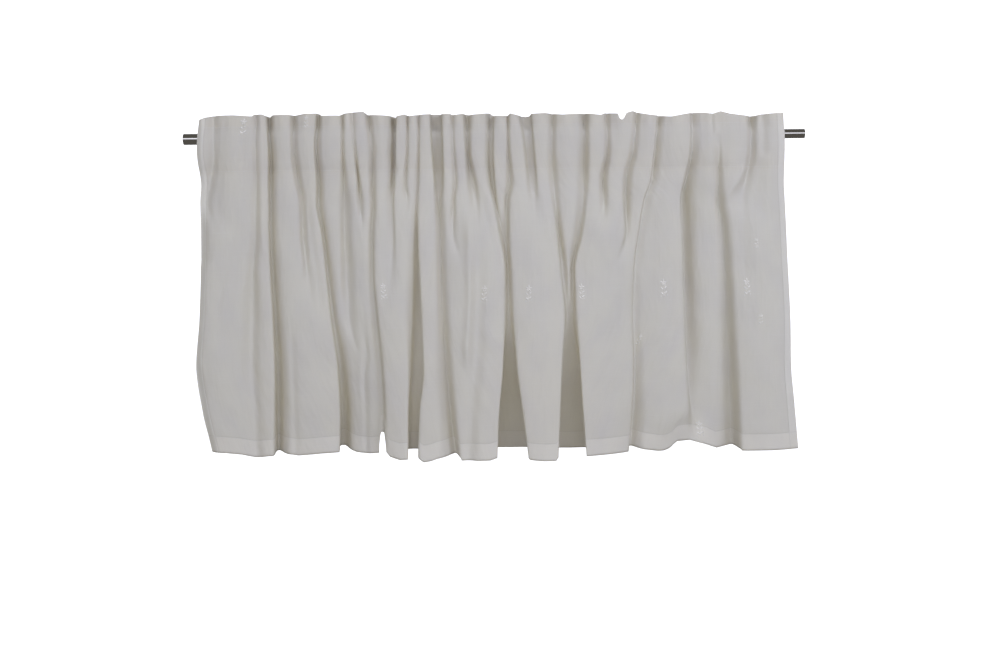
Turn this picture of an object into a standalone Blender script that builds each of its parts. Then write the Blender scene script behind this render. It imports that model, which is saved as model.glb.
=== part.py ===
"""A gathered window valance hanging on a telescopic rod.

The valance is one cut length of cloth. Its top is turned to the back and sewn down along
two lines, which leaves a stand-up header and, below it, a pocket for the rod. Gathering
the cloth on the rod throws it into deep upright furrows; many small ones at the heading
run together into a dozen large ones at the hem.

World frame: the rod axis is the X axis, the cloth's front faces -Y and Z points up.
The tables below are in millimetres, and the meshes are made in metres.
"""
from collections import namedtuple
from math import pi

import bmesh
import bpy
from mathutils import Vector

MM = 0.001

# ---------------------------------------------------------------- driving dimensions (mm)
FLAT_WIDTH = 2200.0        # width of the cloth before it is gathered
CLOTH_THICKNESS = 1.6

UPPER_STITCH = 19.0        # height of the two sewn lines above the rod axis
LOWER_STITCH = -56.0

OUTER_TUBE_DIAMETER = 19.0
INNER_TUBE_DIAMETER = 16.0
TUBE_CLEARANCE = 0.3       # radial, between the two tubes
ROD_END = 538.0            # half of the rod's length
OUTER_TUBE_OVERHANG = 60.0     # how far the outer tube runs past the middle
INNER_TUBE_TUCKED = 40.0       # how far the inner tube runs back into the outer one
TUBE_WALL = 1.2                # of the inner tube; the outer one follows from the gap
TUBE_END_WALL = 2.0
TUBE_CHAMFER = 0.5
TUBE_STEPS = 32

ROD_CLEARANCE = 0.5            # cloth surface to rod

# How a furrow and the face beside it are shaped.
CROWN = 0.10                   # how far a face bulges, as a share of its width
MAX_CROWN = 7.0
NARROWEST_FURROW = 2.3
WALL_LEAN = 0.12               # a wall leans into its furrow by this share of the width
FADING_LEAN = 0.4              # and by this share where the furrow or the face ends
FADING = 0.5                   # share of the depth left just before a furrow fades out
FADING_SLOPE = 3.0             # how far its sides slope outwards there
UNDERCUT_ROOM = 0.3            # share of a face's width that one undercut may reach
SINKING = 0.5                  # share of the depth a face has dropped before it is sunk

# Where a furrow has faded, its four columns lie on the smooth face.
REST_STEPS = (-9, -3, 3, 9)    # from the furrow's middle line
REST_MARGIN = 0.08             # share of the face kept between that line and its edge
NARROWEST_COLUMN = 1.8
EVENING_STEPS = (0, 0.25, 0.5, 0.75, 1)    # how evenly a face's columns may be spread

DEPTH_RANGE = (2.0, 150.0)     # a furrow's depth is looked for between these
DEPTH_HALVINGS = 40

# Heights above the rod axis at which the folds are laid out, from top edge to hem.
LEVELS = (38, -25, -78, -110, -165, -230, -310, -400, -480, -553)
HEADING_LEVELS = 3             # so many levels have walls that stand straight back
UNDERCUT = (0, 0, 0, 0.10, 0.16, 0.18, 0.18, 0.18, 0.18, 0.18)   # share of the depth

# The two side edges of the cloth, one value for each level.
LEFT_SIDE = (-506, -509, -507, -508, -508, -509, -512, -519, -509, -494)
RIGHT_SIDE = (495, 499, 501, 501, 504, 507, 510, 512, 518, 520)

# A row for each furrow, from left to right. share: its depth against the others, at the
# heading and at the hem. soft: how much wider than its dark core it opens, on the left
# and on the right. core: left and right edge of the core at each level, or None where
# the furrow has faded into the face it lies in.
Furrow = namedtuple("Furrow", "name share soft core")
FURROWS = (
    Furrow("panel_dent", (0.30, 0.1), (3, 3), (
        (-489, -475), (-487, -475), (-497, -485), (-500, -487), None, None, None, None,
        None, None)),
    Furrow("panel_valley", (0.15, 0.3), (3, 2), (
        (-413, -408), (-413, -408), (-416, -409), (-418, -409), (-420, -410),
        (-428, -407), (-433, -405), (-434, -406), (-432, -408), (-430, -411))),
    Furrow("f01", (0.9, 1.0), (0, 6), (
        (-391, -383), (-387, -377), (-390, -379), (-389, -379), (-389, -379),
        (-388, -378), (-384, -373), (-382, -369), (-384, -368), (-385, -371))),
    Furrow("f02", (1.0, 0.7), (2, 2), (
        (-349, -339), (-348, -337), (-343, -333), (-336, -328), (-334, -325),
        (-329, -323), None, None, None, None)),
    Furrow("f03", (0.9, 1.0), (0, 0), (
        (-304, -298), (-308, -298), (-307, -296), (-307, -295), (-298, -291),
        (-291, -284), (-283, -276), (-272, -258), (-269, -255), (-270, -258))),
    Furrow("f04", (0.7, 0.7), (0, 3), (
        (-263, -260), (-263, -259), (-265, -257), (-267, -254), (-265, -254),
        (-263, -252), (-258, -251), None, None, None)),
    Furrow("f05", (0.6, 0.4), (0, 0), (
        (-248, -242), (-241, -238), (-237, -233), (-235, -230), None, None, None, None,
        None, None)),
    Furrow("f06", (1.0, 1.2), (0, 0), (
        (-220, -212), (-214, -205), (-215, -207), (-215, -207), (-219, -211),
        (-218, -212), (-214, -207), (-207, -200), (-205, -198), (-204, -197))),
    Furrow("f07", (1.0, 0.7), (0, 0), (
        (-181, -170), (-181, -171), (-184, -174), (-186, -176), (-185, -175),
        (-185, -177), None, None, None, None)),
    Furrow("f08", (0.5, 0.3), (0, 0), (
        (-151, -147), (-152, -147), (-157, -151), (-154, -150), None, None, None, None,
        None, None)),
    Furrow("f09", (0.6, 1.4), (0, 0), (
        (-132, -129), (-132, -129), (-136, -132), (-137, -134), (-138, -135),
        (-143, -134), (-148, -132), (-146, -130), (-150, -139), (-152, -142))),
    Furrow("f10", (1.0, 1.5), (0, 0), (
        (-108, -93), (-105, -91), (-102, -92), (-101, -93), (-99, -90), (-98, -88),
        (-98, -85), (-99, -79), (-95, -73), (-91, -66))),
    Furrow("f11", (0.9, 0.6), (0, 0), (
        (-75, -70), (-73, -67), (-72, -65), (-74, -69), (-76, -71), None, None, None,
        None, None)),
    Furrow("f12", (0.9, 0.6), (0, 3), (
        (-51, -41), (-48, -42), (-46, -32), (-43, -27), None, None, None, None, None,
        None)),
    Furrow("f13", (1.0, 2.2), (0, 0), (
        (-12, -1), (-15, -3), (-11, -1), (-1, 2), (10, 11), (19, 20), (18, 20), (15, 21),
        (8, 20), (5, 22))),
    Furrow("f14", (0.6, 2.0), (0, 0), (
        (22, 25), (22, 27), (20, 34), (17, 26), (18, 24), (24, 25), (24, 28), (25, 32),
        (27, 41), (29, 49))),
    Furrow("f15", (1.0, 0.6), (0, 0), (
        (47, 62), (56, 67), (60, 72), (61, 73), None, None, None, None, None, None)),
    Furrow("f16", (1.0, 1.9), (0, 0), (
        (97, 107), (94, 105), (96, 111), (101, 113), (109, 117), (117, 124), (123, 125),
        (119, 124), (116, 126), (113, 127))),
    Furrow("f17", (1.0, 1.9), (0, 0), (
        (148, 162), (146, 161), (144, 161), (142, 158), (137, 149), (131, 135),
        (129, 138), (133, 142), (134, 146), (136, 151))),
    Furrow("f18", (1.0, 0.5), (2, 2), (
        (190, 200), (191, 199), (182, 194), (182, 194), None, None, None, None, None,
        None)),
    Furrow("f19", (1.0, 0.7), (0, 0), (
        (243, 252), (235, 246), (224, 236), (224, 236), (228, 232), None, None, None,
        None, None)),
    Furrow("f20", (1.0, 1.1), (0, 4), (
        (284, 293), (275, 287), (265, 279), (253, 267), (249, 260), (242, 252),
        (239, 246), (241, 250), (239, 251), (233, 245))),
    Furrow("f21", (1.0, 0.6), (2, 6), (
        (340, 346), (338, 349), (328, 341), (324, 341), (327, 343), (328, 347),
        (331, 357), (334, 350), (336, 348), None)),
    Furrow("f22", (0.9, 1.2), (3, 0), (
        None, (387, 388), (385, 393), (381, 391), (384, 400), (387, 405), (390, 410),
        (397, 418), (402, 421), (407, 423))),
    Furrow("f23", (0.5, 0.3), (6, 6), (
        (438, 452), (438, 447), (430, 442), (417, 438), None, None, None, None, None,
        None)),
)

# A row for each face, between the furrows: one more row than there are furrows.
# top: height of the header's edge. hem: height of the hem. front: how far the face
# stands out in front of the rod axis at the hem. columns: mesh columns inside the face.
# sunk: the level from which it lies at the bottom of the furrows on its two sides.
Face = namedtuple("Face", "top hem front columns sunk")
FACES = (
    Face(35, -549, 14, 1, None), Face(37, -551, 16, 2, None), Face(38, -553, 20, 1, None),
    Face(38, -550, 20, 1, None), Face(39, -549, 18, 1, None), Face(36, -547, 8, 1, None),
    Face(41, -547, 20, 1, None), Face(42, -551, 24, 1, None), Face(36, -553, 48, 1, None),
    Face(38, -554, 54, 1, None), Face(36, -555, 56, 1, None), Face(39, -556, 62, 1, None),
    Face(39, -555, 62, 1, None), Face(38, -556, 66, 1, None), Face(40, -556, 66, 1, None),
    Face(37, -553, 66, 1, 4), Face(38, -557, 70, 1, None), Face(40, -557, 68, 1, None),
    Face(39, -553, 60, 1, 6), Face(39, -553, 44, 1, None), Face(37, -552, 42, 2, None),
    Face(40, -551, 18, 1, None), Face(37, -550, 18, 2, None), Face(39, -540, -18, 1, None),
    Face(40, -551, 20, 1, None), Face(38, -548, 16, 3, None),
)
FURROW_HEM = -554.0        # the hem hangs this low at the bottom of every furrow
HEADER_DIP = 2.0           # the header's edge is lower by this in a furrow

# The way round the rod: at each height the furrow bottoms of the layer in front of the
# rod and the ridges of that layer stand this far from the axis, towards the front (-Y).
# The layer behind the rod takes the same way, mirrored.
PocketRow = namedtuple("PocketRow", "height bottom ridge")
REACH = OUTER_TUBE_DIAMETER / 2 + ROD_CLEARANCE + CLOTH_THICKNESS / 2
POCKET_ROWS = (
    PocketRow(12.5, 1.8, 17.0),
    PocketRow(8.2, 9.4, 24.0),
    PocketRow(0.0, REACH, REACH + 18.0),
    PocketRow(-45.0, 2.0, 15.0),
)
POCKET_ROOF = 12.9         # heights of the straight lines in which the hollow closes
POCKET_FLOOR = -45.6

CLOTH_COLOUR = (0.72, 0.71, 0.67, 1)
STEEL_COLOUR = (0.55, 0.54, 0.52, 1)


# ---------------------------------------------------------------- the folds at one level
def blend(a, b, t):
    return a + (b - a) * t


def share_at(furrow, level):
    """Depth of a furrow against the others: one value in the heading, then blended."""
    heading, hem = furrow.share
    run = max(0, level - HEADING_LEVELS + 1) / (len(LEVELS) - HEADING_LEVELS)
    share = heading + (hem - heading) * run
    return share * FADING if is_fading(furrow, level) else share


def is_fading(furrow, level):
    """True at the last level that a furrow reaches, or the first."""
    return None in furrow.core[max(0, level - 1):level + 2]


def opening(furrow, level):
    """Left and right edge of a live furrow, opened by its soft slopes."""
    left, right = furrow.core[level]
    spread_out = FADING_SLOPE if is_fading(furrow, level) else 0
    left -= max(furrow.soft[0], spread_out) + CLOTH_THICKNESS / 2
    right += max(furrow.soft[1], spread_out) + CLOTH_THICKNESS / 2
    short = NARROWEST_FURROW - (right - left)
    if short > 0:
        left -= short / 2
        right += short / 2
    return left, right


def nearest_live_level(furrow, level):
    """The level nearest to this one at which the furrow is still open."""
    live = [k for k, core in enumerate(furrow.core) if core is not None]
    return min(live, key=lambda k: abs(k - level))


def live_furrows(level):
    return [i for i, furrow in enumerate(FURROWS) if furrow.core[level] is not None]


def face_span(index, level):
    """Edges of the face in which furrow `index` has faded: the live furrows beside it."""
    left, right = LEFT_SIDE[level], RIGHT_SIDE[level]
    for i in live_furrows(level):
        if i < index:
            left = opening(FURROWS[i], level)[1]
        if i > index:
            right = opening(FURROWS[i], level)[0]
            break
    return left, right


def faded_place(index, level):
    """Where a faded furrow's columns lie: at the share of the face that it last held."""
    furrow = FURROWS[index]
    last = nearest_live_level(furrow, level)
    centre = sum(furrow.core[last]) / 2
    before = [i for i in live_furrows(level) if i < index]
    after = [i for i in live_furrows(level) if i > index]
    left_then, right_then = LEFT_SIDE[last], RIGHT_SIDE[last]
    if before and FURROWS[before[-1]].core[last]:
        left_then = opening(FURROWS[before[-1]], last)[1]
    if after and FURROWS[after[0]].core[last]:
        right_then = opening(FURROWS[after[0]], last)[0]
    left, right = face_span(index, level)
    share = (centre - left_then) / (right_then - left_then)
    share = min(1 - REST_MARGIN, max(REST_MARGIN, share))
    return left + share * (right - left)


def front_at(face, level, unit):
    """How far a face stands out (towards -Y) at a level.

    unit is the depth there of a furrow whose share is 1. In the heading the cloth is
    centred on the rod, and further down it comes to the face's own place at the hem.
    """
    run = max(0, level - 1) / (len(LEVELS) - 2)
    return (unit / 2) * (1 - run) + face.front * run


def corners(index, level, fronts, unit):
    """A live furrow's four corners, left to right: edge, bottom, bottom, edge."""
    furrow = FURROWS[index]
    left, right = opening(furrow, level)
    depth = share_at(furrow, level) * unit
    bottom = (fronts[index] + fronts[index + 1]) / 2 - depth
    face_left, face_right = face_span(index, level)
    room = (UNDERCUT_ROOM * (left - face_left), UNDERCUT_ROOM * (face_right - right))
    wall = [min(UNDERCUT[level] * depth, space) for space in room]
    ends = [is_fading(furrow, level) or is_sunk(k, level + 1) for k in (index, index + 1)]
    inset = [(FADING_LEAN if end else WALL_LEAN) * (right - left) for end in ends]
    upright = [end or soft or not UNDERCUT[level] for end, soft in zip(ends, furrow.soft)]
    deep_left = left + inset[0] if upright[0] else left - wall[0]
    deep_right = right - inset[1] if upright[1] else right + wall[1]
    edges = [fronts[k] - (SINKING * depth if is_sunk(k, level + 1) else 0)
             for k in (index, index + 1)]
    return [("edge", left, edges[0]), ("deep", deep_left, bottom),
            ("deep", deep_right, bottom), ("edge", right, edges[1])]


def sink_face(index, before, after):
    """Lay a sunk face, and the furrow edges beside it, flat along the common bottom."""
    start, end = before[1][1], after[2][1]
    bottom = min(before[1][2], after[2][2])
    steps = FACES[index].columns + 5             # its own columns and two edges a side
    for corner, step in ((1, 0), (2, 1), (3, 2)):
        before[corner] = ("deep", blend(start, end, step / steps), bottom)
        after[3 - corner] = ("deep", blend(end, start, step / steps), bottom)


def section(level, unit):
    """The middle line of the cloth at one level, as (x, y) for every mesh column."""
    fronts = [front_at(face, level, unit) for face in FACES]
    furrows = []
    for i, furrow in enumerate(FURROWS):
        if furrow.core[level] is None:
            place = faded_place(i, level)
            furrows.append([("rest", place + step, None) for step in REST_STEPS])
        else:
            furrows.append(corners(i, level, fronts, unit))
    for k in range(1, len(FACES) - 1):
        if is_sunk(k, level):
            sink_face(k, furrows[k - 1], furrows[k])
    marks = [("edge", LEFT_SIDE[level], fronts[0])]
    for face, furrow in zip(FACES, furrows):
        marks.append(("inside", face.columns, None))
        marks += furrow
    marks.append(("inside", FACES[-1].columns, None))
    marks.append(("edge", RIGHT_SIDE[level], fronts[-1]))
    return dress_faces(marks)


def is_sunk(face_index, level):
    sunk = FACES[face_index].sunk
    return sunk is not None and level >= sunk


def dress_faces(marks):
    """Give the columns between two furrows their place on the face's crowned front."""
    line = []
    i = 0
    while i < len(marks):
        kind, x, front = marks[i]
        if kind in ("edge", "deep"):
            line.append((x, -front))
            i += 1
            continue
        end = i
        while marks[end][0] in ("inside", "rest"):
            end += 1
        x0, y0 = line[-1]
        x1, y1 = marks[end][1], -marks[end][2]
        crown = min(MAX_CROWN, CROWN * (x1 - x0))
        for x in spread(marks[i:end], x0, x1):
            t = (x - x0) / (x1 - x0)
            line.append((x, y0 + (y1 - y0) * t - crown * 4 * t * (1 - t)))
        i = end
    return line


def spread(marks, x0, x1):
    """Places of the columns of one face, moved towards an even spread if one is narrow."""
    places = []
    for k, (kind, value, _) in enumerate(marks):
        if kind == "rest":
            places.append(value)
            continue
        before = places[-1] if places else x0
        rests = [m[1] for m in marks[k + 1:] if m[0] == "rest"]
        after = rests[0] if rests else x1
        places += [before + (after - before) * n / (value + 1) for n in range(1, value + 1)]
    even = [x0 + (x1 - x0) * (n + 1) / (len(places) + 1) for n in range(len(places))]
    for t in EVENING_STEPS:
        mixed = [blend(a, b, t) for a, b in zip(places, even)]
        line = [x0] + mixed + [x1]
        if min(b - a for a, b in zip(line, line[1:])) > NARROWEST_COLUMN:
            break
    return mixed


def line_length(line):
    """Length of the cloth along one section."""
    return sum((Vector(b) - Vector(a)).length for a, b in zip(line, line[1:]))


def levelled_section(level):
    """The section whose furrows are just deep enough to take up the cloth's flat width."""
    low, high = DEPTH_RANGE
    for _ in range(DEPTH_HALVINGS):
        unit = (low + high) / 2
        if line_length(section(level, unit)) < FLAT_WIDTH:
            low = unit
        else:
            high = unit
    return section(level, unit), unit


# ---------------------------------------------------------------- the valance
def at_height(sections, z):
    """The section at any height, between the two levels next to it."""
    for k in range(len(LEVELS) - 1):
        top, low = LEVELS[k], LEVELS[k + 1]
        if z >= low:
            t = (top - z) / (top - low)
            return [(blend(a[0], b[0], t), blend(a[1], b[1], t))
                    for a, b in zip(sections[k], sections[k + 1])]
    return sections[-1]


def edge_heights():
    """Heights of the header's edge and of the hem, for every column."""
    header, hem = [FACES[0].top], [FACES[0].hem]
    for i, face in enumerate(FACES):
        header += [face.top] * face.columns
        hem += [face.hem] * face.columns
        if i < len(FURROWS):
            after = FACES[i + 1]
            live_top = FURROWS[i].core[0] is not None
            live_hem = FURROWS[i].core[-1] is not None
            dip = min(face.top, after.top) - HEADER_DIP if live_top else face.top
            drop = FURROW_HEM if live_hem else (face.hem + after.hem) / 2
            header += [face.top, dip, dip, after.top]
            hem += [face.hem, drop, drop, after.hem]
    return header + [FACES[-1].top], hem + [FACES[-1].hem]


def pocket_layers(line, half_depth, row):
    """The cloth's two layers at one height beside the rod, in front of and behind it."""
    front, back = [], []
    for x, y in line:
        s = min(1.0, max(0.0, (y + half_depth) / (2 * half_depth)))
        front.append(Vector((x, -blend(row.ridge, row.bottom, s), row.height)))
        back.append(Vector((x, blend(row.bottom, row.ridge, s), row.height)))
    return front, back


def sheet_rows():
    """Rows of points down the front sheet, and of the turned-back layer in the pocket."""
    solved = [levelled_section(level) for level in range(len(LEVELS))]
    sections = [line for line, _ in solved]
    half_depth = solved[0][1] / 2
    header, hem = edge_heights()
    front_rows = [[Vector((x, y, z)) for (x, y), z in zip(sections[0], header)]]
    stitched = at_height(sections, UPPER_STITCH)
    front_rows.append([Vector((x, y, UPPER_STITCH)) for x, y in stitched])
    back_rows = []
    for row in POCKET_ROWS:
        front, back = pocket_layers(at_height(sections, row.height), half_depth, row)
        front_rows.append(front)
        back_rows.append(back)
    stitched = at_height(sections, LOWER_STITCH)
    front_rows.append([Vector((x, y, LOWER_STITCH)) for x, y in stitched])
    for level in range(2, len(LEVELS) - 1):
        front_rows.append([Vector((x, y, LEVELS[level])) for x, y in sections[level]])
    front_rows.append([Vector((x, y, z)) for (x, y), z in zip(sections[-1], hem)])
    return front_rows, back_rows


def normals(rows):
    """Unit normals of a grid of points, pointing to the back (+Y) of the sheet."""
    result = []
    last_row, last_column = len(rows) - 1, len(rows[0]) - 1
    for r, row in enumerate(rows):
        above, below = rows[max(0, r - 1)], rows[min(last_row, r + 1)]
        line = []
        for c in range(len(row)):
            across = (row[min(last_column, c + 1)] - row[c]).normalized()
            across += (row[c] - row[max(0, c - 1)]).normalized()
            down = below[c] - above[c]
            line.append(across.cross(down).normalized())
        result.append(line)
    return result


def offset(rows, grid_normals, distance):
    return [[point + normal * distance for point, normal in zip(row, line)]
            for row, line in zip(rows, grid_normals)]


def pocket_end(row, height):
    """The straight line, above or below the rod, in which the pocket's hollow closes."""
    return [Vector((point.x, 0, height)) for point in row]


def valance_mesh():
    """Loft the sheet's two faces, the pocket's hollow and the cloth's four edges."""
    front_rows, back_rows = sheet_rows()
    half = CLOTH_THICKNESS / 2
    upper = 1                                    # row of the upper stitch
    lower = upper + len(back_rows) + 1           # row of the lower stitch
    sheet_normals = normals(front_rows)
    layer = [front_rows[upper]] + back_rows + [front_rows[lower]]
    layer_normals = normals(layer)[1:-1]

    outside = offset(front_rows, sheet_normals, -half)
    behind = offset(front_rows, sheet_normals, half)
    hollow_front = behind[upper + 1:lower]
    behind[upper + 1:lower] = offset(back_rows, layer_normals, half)
    hollow_back = offset(back_rows, layer_normals, -half)
    start = pocket_end(back_rows[0], POCKET_ROOF)
    end = pocket_end(back_rows[-1], POCKET_FLOOR)

    mesh = bmesh.new()

    def make(rows):
        return [[mesh.verts.new(point * MM) for point in row] for row in rows]

    def strip(a, b):
        """Two triangles a column, always split from upper left to lower right."""
        rising = a[0].co.z < b[0].co.z
        for c in range(len(a) - 1):
            corners = (a[c], a[c + 1], b[c + 1], b[c])
            if rising:
                corners = corners[1:] + corners[:1]
            mesh.faces.new(corners[:3])
            mesh.faces.new((corners[2], corners[3], corners[0]))

    def skin(rows):
        for a, b in zip(rows, rows[1:]):
            strip(a, b)

    outside, behind = make(outside), make(behind)
    start, end = make([start])[0], make([end])[0]
    hollow_front = [start] + make(hollow_front) + [end]
    hollow_back = [start] + make(hollow_back) + [end]
    skin(outside)
    skin(behind[::-1])
    skin(hollow_front[::-1])
    skin(hollow_back)
    strip(behind[0], outside[0])
    strip(outside[-1], behind[-1])
    for c in (0, -1):
        for r in range(len(outside) - 1):
            a, b = outside[r][c], outside[r + 1][c]
            d, e = behind[r][c], behind[r + 1][c]
            if not upper <= r < lower:
                mesh.faces.new((a, b, e, d))
                continue
            k = r - upper
            mesh.faces.new((a, b, hollow_front[k + 1][c], hollow_front[k][c]))
            mesh.faces.new((hollow_back[k][c], hollow_back[k + 1][c], e, d))
        mesh.faces.new((outside[upper][c], start[c], behind[upper][c]))
        mesh.faces.new((outside[lower][c], end[c], behind[lower][c]))
    bmesh.ops.recalc_face_normals(mesh, faces=mesh.faces)
    return mesh


def make_valance(collection, material):
    """The cloth, as one object of one closed mesh."""
    data = bpy.data.meshes.new("valance_cloth")
    mesh = valance_mesh()
    mesh.to_mesh(data)
    mesh.free()
    data.shade_smooth()
    data.materials.append(material)
    valance = bpy.data.objects.new("valance_cloth", data)
    collection.objects.link(valance)
    return valance


# ---------------------------------------------------------------- the rod
def make_tube(name, diameter, wall, length, location, turn, collection, material):
    """A tube that is closed at its outer end: a profile turned round its own Z axis."""
    outer, inner = diameter / 2, diameter / 2 - wall
    floor = length - TUBE_END_WALL
    profile = ((0, length), (outer - TUBE_CHAMFER, length), (outer, length - TUBE_CHAMFER),
               (outer, 0), (inner, 0), (inner, floor), (0, floor))
    data = bpy.data.meshes.new(name)
    points = [(radius * MM, 0, along * MM) for radius, along in profile]
    data.from_pydata(points, [(i, i + 1) for i in range(len(points) - 1)], [])
    data.materials.append(material)
    tube = bpy.data.objects.new(name, data)
    collection.objects.link(tube)
    turned = tube.modifiers.new("turned", 'SCREW')
    turned.axis = 'Z'
    turned.steps = TUBE_STEPS
    turned.render_steps = TUBE_STEPS
    turned.use_merge_vertices = True
    turned.merge_threshold = 0.00001
    turned.use_smooth_shade = True
    tube.location = (location * MM, 0, 0)
    tube.rotation_euler = (0, turn, 0)
    return tube


def make_rod(collection, steel):
    """Two tubes, one slid into the other, each closed at the end that shows."""
    socket = INNER_TUBE_DIAMETER / 2 + TUBE_CLEARANCE
    make_tube("rod_outer_tube", OUTER_TUBE_DIAMETER, OUTER_TUBE_DIAMETER / 2 - socket,
              ROD_END + OUTER_TUBE_OVERHANG, OUTER_TUBE_OVERHANG, -pi / 2, collection,
              steel)
    make_tube("rod_inner_tube", INNER_TUBE_DIAMETER, TUBE_WALL,
              ROD_END + INNER_TUBE_TUCKED, -INNER_TUBE_TUCKED, pi / 2, collection, steel)


# ---------------------------------------------------------------- the whole part
def make_material(name, colour, roughness, metallic):
    material = bpy.data.materials.new(name)
    material.use_nodes = True
    shader = material.node_tree.nodes["Principled BSDF"]
    shader.inputs["Base Color"].default_value = colour
    shader.inputs["Roughness"].default_value = roughness
    shader.inputs["Metallic"].default_value = metallic
    return material


def main():
    for item in list(bpy.data.objects):
        bpy.data.objects.remove(item, do_unlink=True)
    collection = bpy.data.collections.new("window_valance_on_rod")
    bpy.context.scene.collection.children.link(collection)
    cloth = make_material("slubbed_cotton_linen", CLOTH_COLOUR, 0.9, 0.0)
    steel = make_material("polished_steel", STEEL_COLOUR, 0.25, 1.0)
    make_valance(collection, cloth)
    make_rod(collection, steel)


main()
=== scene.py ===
# %% [markdown]
# # A gathered window valance on its rod
#
# The real object is one length of thin, slubbed cotton and linen cloth. Its top is turned
# to the back and sewn down along two lines, which leaves a stand-up header and a pocket.
# A telescopic steel rod runs through the pocket, and the cloth is pushed together on it to
# about two thirds of its width, so it falls in furrows. This lesson dresses the plain CAD
# model: it makes the cloth again as a fine surface, sews it, embroiders it and gives the
# steel tubes of the CAD model a polished finish.

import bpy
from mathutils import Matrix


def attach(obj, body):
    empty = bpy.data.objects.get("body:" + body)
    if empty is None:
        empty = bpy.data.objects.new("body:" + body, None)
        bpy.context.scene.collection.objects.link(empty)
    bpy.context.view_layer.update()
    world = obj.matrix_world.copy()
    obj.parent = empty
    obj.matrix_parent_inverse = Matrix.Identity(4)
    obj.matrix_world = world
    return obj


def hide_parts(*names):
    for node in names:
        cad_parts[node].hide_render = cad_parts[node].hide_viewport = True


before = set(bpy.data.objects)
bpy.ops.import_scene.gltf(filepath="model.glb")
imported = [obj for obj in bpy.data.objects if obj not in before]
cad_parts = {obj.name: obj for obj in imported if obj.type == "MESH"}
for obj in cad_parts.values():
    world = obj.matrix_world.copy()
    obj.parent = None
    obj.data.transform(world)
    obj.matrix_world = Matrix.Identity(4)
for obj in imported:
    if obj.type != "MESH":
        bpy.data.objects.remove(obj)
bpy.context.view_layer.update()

# %% The modules and the units
from collections import namedtuple
from math import pi, radians

import bpy
import numpy as np
from mathutils import Euler, Matrix, Vector

MM = 0.001                     # the tables are in millimetres, the meshes in metres

# %% [markdown]
# ## The camera
#
# The camera comes first, because every render needs it. It stands 2.43 m in front of
# the rod, a little below it, looks down by six degrees and leans a little to one side, as
# a hand-held camera does.

# %% Place the camera
CAMERA_PLACE = (0.007, -2.430, -0.088)
CAMERA_PITCH = radians(6.0)
CAMERA_LEAN = radians(0.55)
FOCAL_LENGTH, SENSOR_WIDTH = 50, 36        # mm


def new_object(name, data):
    """An object in the scene, at the origin."""
    thing = bpy.data.objects.new(name, data)
    bpy.context.scene.collection.objects.link(thing)
    return thing


def place_camera():
    lens = bpy.data.cameras.new("camera")
    lens.lens, lens.sensor_width = FOCAL_LENGTH, SENSOR_WIDTH
    camera = new_object("camera", lens)
    tilt = Euler((pi / 2 - CAMERA_PITCH, 0, 0)).to_matrix()
    lean = Matrix.Rotation(-CAMERA_LEAN, 3, 'Z')
    camera.location = CAMERA_PLACE
    camera.rotation_euler = (tilt @ lean).to_euler()
    bpy.context.scene.camera = camera
    return camera


print("camera at", tuple(place_camera().location))

# %% [markdown]
# ## How the folds are described
#
# Gathered cloth is a row of flat faces with furrows between them. A table names every
# furrow and gives its two edges at ten heights, from the header to the hem. The faces
# between them need only a few numbers, such as how far they stand out at the hem. The
# furrows lie in about the same places as in the CAD model, but most are shallower and
# rounder here, because the CAD model's deep, box-shaped ones would look too dark. A cloth
# simulation would give folds too, but not these folds in these places.

# %% The driving dimensions of the cloth, in millimetres
FLAT_WIDTH = 1600.0            # of the cloth before it is gathered
UPPER_STITCH = 19.0            # height of the two sewn lines above the rod's axis
LOWER_STITCH = -56.0
HEM_HEIGHT = 30.0              # how much is turned up at the bottom edge
SIDE_HEM = 14.0                # width of the narrow hems at the two sides
ROD_REACH = 10.8               # from the rod's axis to the middle of the cloth on it
LAYER_GAP = 1.1                # between the two layers where the cloth is turned over

LEVELS = (38, -25, -78, -110, -165, -230, -310, -400, -480, -553)
UNDERCUT = (0.1, 0.1, 0.1, 0.12, 0.16, 0.18, 0.18, 0.18, 0.18, 0.18)   # share of the depth
LEFT_SIDE = (-506, -511, -507, -510, -511, -513, -518, -527, -518, -504)
RIGHT_SIDE = (495, 498, 498, 500, 504, 508, 513, 516, 524, 531)
TOP, BOTTOM = LEVELS[0], LEVELS[-1]

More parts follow.
